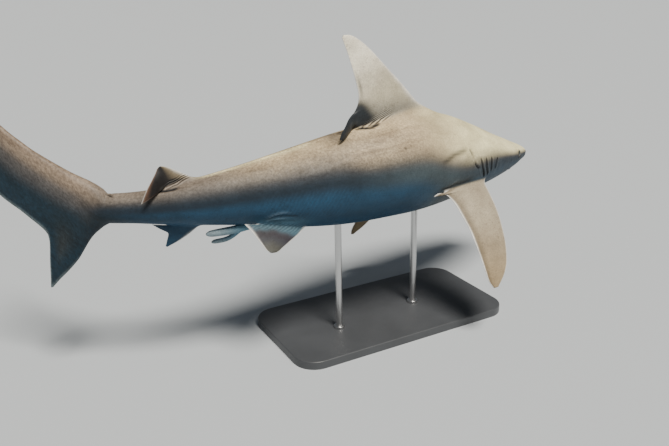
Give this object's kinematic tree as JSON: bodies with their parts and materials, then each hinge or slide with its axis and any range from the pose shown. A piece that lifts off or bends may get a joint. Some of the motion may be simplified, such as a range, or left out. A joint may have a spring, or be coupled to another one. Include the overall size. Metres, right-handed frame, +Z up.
{
  "type": "sandbar shark",
  "caption": "Life-size still model of an adult male sandbar shark, swimming with head and tail turned left, on a plain flat base with two steel rods",
  "frame": {"origin": "middle of the underside of the stand's base, on the floor and below the centre of mass", "axes": "+X is the way the shark swims, +Y is its left side, +Z is up"},
  "size_m": [1.6061, 0.5829, 0.8004],
  "materials": {
    "skin_back": "painted skin, satin",
    "skin_flank": "painted skin, satin",
    "skin_fins": "painted skin, satin",
    "skin_claspers": "painted skin, satin",
    "eyes": "polished",
    "stand_base": "satin paint",
    "stand_rods": "brushed"
  },
  "bodies": {
    "root": {"head": "skin_back", "trunk": "skin_flank", "tail_stock": "skin_back", "caudal_upper_lobe": "skin_fins", "caudal_lower_lobe": "skin_fins", "first_dorsal_fin": "skin_fins", "second_dorsal_fin": "skin_fins", "anal_fin": "skin_fins", "pectoral_fin_left": "skin_fins", "pectoral_fin_right": "skin_fins", "pelvic_fin_left": "skin_fins", "pelvic_fin_right": "skin_fins", "clasper_left": "skin_claspers", "clasper_right": "skin_claspers", "eye_left": "eyes", "eye_right": "eyes", "stand_base": "stand_base", "stand_rod_front": "stand_rods", "stand_rod_rear": "stand_rods"}
  },
  "joints": []
}
